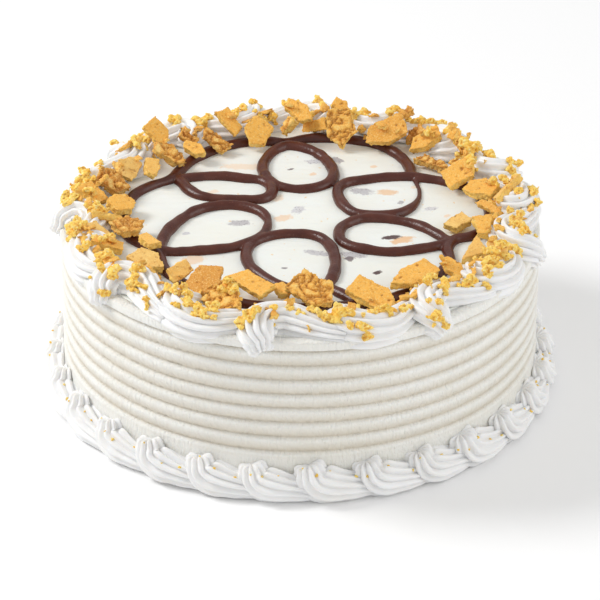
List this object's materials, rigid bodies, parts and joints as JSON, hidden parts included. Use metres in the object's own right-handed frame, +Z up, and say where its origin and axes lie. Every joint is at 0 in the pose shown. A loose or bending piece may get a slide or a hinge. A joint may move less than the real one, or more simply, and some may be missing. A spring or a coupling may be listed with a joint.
{
  "type": "ice cream cake",
  "caption": "Round ice cream cake with combed white icing, piped shell borders, a fudge flower on top and broken golden cookies pressed round the rim",
  "frame": {"origin": "the middle of the underside, which is flat and lies on z = 0", "axes": "+Z is up. The front, as pictured, looks along -Y, and +X is to the right of it"},
  "size_m": [0.2791, 0.28, 0.1129],
  "materials": {
    "ice_cream": "smooth vanilla ice cream with small fruit and chocolate pieces level with its top",
    "whipped_icing": "whipped white icing, soft sheen, combed on the side and piped on the borders",
    "fudge": "dark fudge with a soft gloss",
    "golden_cookie": "broken golden cookie, dry and porous"
  },
  "bodies": {
    "root": {"ice_cream": "ice_cream", "combed_icing": "whipped_icing", "foot_border": "whipped_icing", "top_border": "whipped_icing", "fudge_flower": "fudge", "cookie_piece_01": "golden_cookie", "cookie_piece_02": "golden_cookie", "cookie_piece_03": "golden_cookie", "cookie_piece_04": "golden_cookie", "cookie_piece_05": "golden_cookie", "cookie_piece_06": "golden_cookie", "cookie_piece_07": "golden_cookie", "cookie_piece_08": "golden_cookie", "cookie_piece_09": "golden_cookie", "cookie_piece_10": "golden_cookie", "cookie_piece_11": "golden_cookie", "cookie_piece_12": "golden_cookie", "cookie_piece_13": "golden_cookie", "cookie_piece_14": "golden_cookie", "cookie_piece_15": "golden_cookie", "cookie_piece_16": "golden_cookie", "cookie_piece_17": "golden_cookie", "cookie_piece_18": "golden_cookie", "cookie_piece_19": "golden_cookie", "cookie_piece_20": "golden_cookie", "cookie_piece_21": "golden_cookie", "cookie_piece_22": "golden_cookie", "cookie_piece_23": "golden_cookie", "cookie_piece_24": "golden_cookie", "cookie_piece_25": "golden_cookie", "cookie_piece_26": "golden_cookie", "cookie_piece_27": "golden_cookie", "cookie_piece_28": "golden_cookie", "cookie_piece_29": "golden_cookie", "cookie_piece_30": "golden_cookie", "cookie_piece_31": "golden_cookie", "cookie_piece_32": "golden_cookie", "cookie_piece_33": "golden_cookie", "cookie_piece_34": "golden_cookie", "cookie_piece_35": "golden_cookie", "cookie_piece_36": "golden_cookie", "cookie_piece_37": "golden_cookie", "cookie_piece_38": "golden_cookie", "cookie_piece_39": "golden_cookie", "cookie_piece_40": "golden_cookie", "cookie_piece_41": "golden_cookie", "cookie_piece_42": "golden_cookie", "cookie_piece_43": "golden_cookie", "cookie_piece_44": "golden_cookie", "cookie_piece_45": "golden_cookie", "cookie_piece_46": "golden_cookie", "cookie_piece_47": "golden_cookie", "cookie_piece_48": "golden_cookie", "cookie_piece_49": "golden_cookie"}
  },
  "joints": []
}
